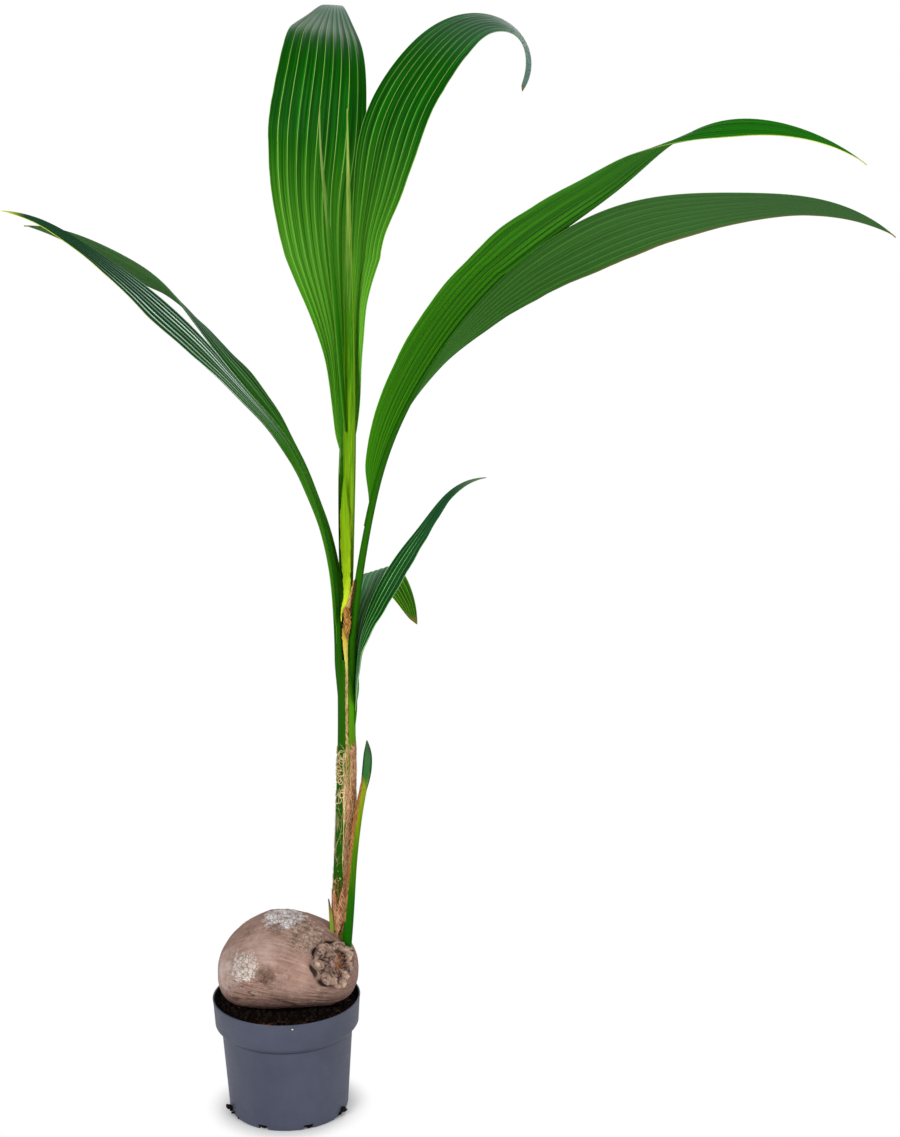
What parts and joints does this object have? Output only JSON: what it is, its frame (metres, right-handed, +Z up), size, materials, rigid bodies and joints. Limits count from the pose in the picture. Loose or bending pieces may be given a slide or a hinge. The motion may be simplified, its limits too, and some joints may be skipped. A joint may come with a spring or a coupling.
{
  "type": "potted coconut palm",
  "caption": "Young coconut palm sprouting from its husk in a round nursery pot: a slim sheathed stem, long pleated two-lobed leaves, a spear leaf and a side shoot.",
  "frame": {"origin": "centre of the pot's flat underside, on the surface that it stands on", "axes": "+Z up, +X from the pot's centre towards the sprouting end of the nut, +Y away from the front"},
  "size_m": [1.0339, 0.6317, 1.3943],
  "materials": {
    "pot_plastic": "moulded polypropylene, satin",
    "potting_soil": "moist peat and bark, rough",
    "husk_skin": "dry fibrous husk, matte",
    "torn_husk": "torn fibre, rough",
    "stem_sheath": "smooth leaf sheaths, satin",
    "woven_fibre": "dry woven leaf fibre, rough",
    "leaf_stalk": "smooth leaf stalk, satin",
    "leaf_blade": "pleated leaf, glossy above and matte below",
    "young_leaf": "young folded leaf, satin"
  },
  "bodies": {
    "root": {"pot": "pot_plastic", "soil": "potting_soil", "nut": "husk_skin", "husk_scar": "torn_husk", "stem": "stem_sheath", "fibre_sheath": "woven_fibre", "centre_leaf_left_blade": "leaf_blade", "centre_leaf_left_tip": "leaf_blade", "centre_leaf_right_blade": "leaf_blade", "centre_leaf_right_tip": "leaf_blade", "centre_leaf_stalk": "leaf_stalk", "left_leaf_back_blade": "leaf_blade", "left_leaf_back_tip": "leaf_blade", "left_leaf_front_blade": "leaf_blade", "left_leaf_front_tip": "leaf_blade", "left_leaf_stalk": "leaf_stalk", "right_leaf_far_blade": "leaf_blade", "right_leaf_far_tip": "leaf_blade", "right_leaf_near_blade": "leaf_blade", "right_leaf_near_tip": "leaf_blade", "right_leaf_stalk": "leaf_stalk", "scale_leaf": "young_leaf", "side_shoot": "young_leaf", "side_shoot_blade": "leaf_blade", "small_leaf_back_blade": "leaf_blade", "small_leaf_back_tip": "leaf_blade", "small_leaf_front_blade": "leaf_blade", "small_leaf_stalk": "leaf_stalk", "spear_leaf": "young_leaf", "spear_side_leaf": "young_leaf"}
  },
  "joints": []
}
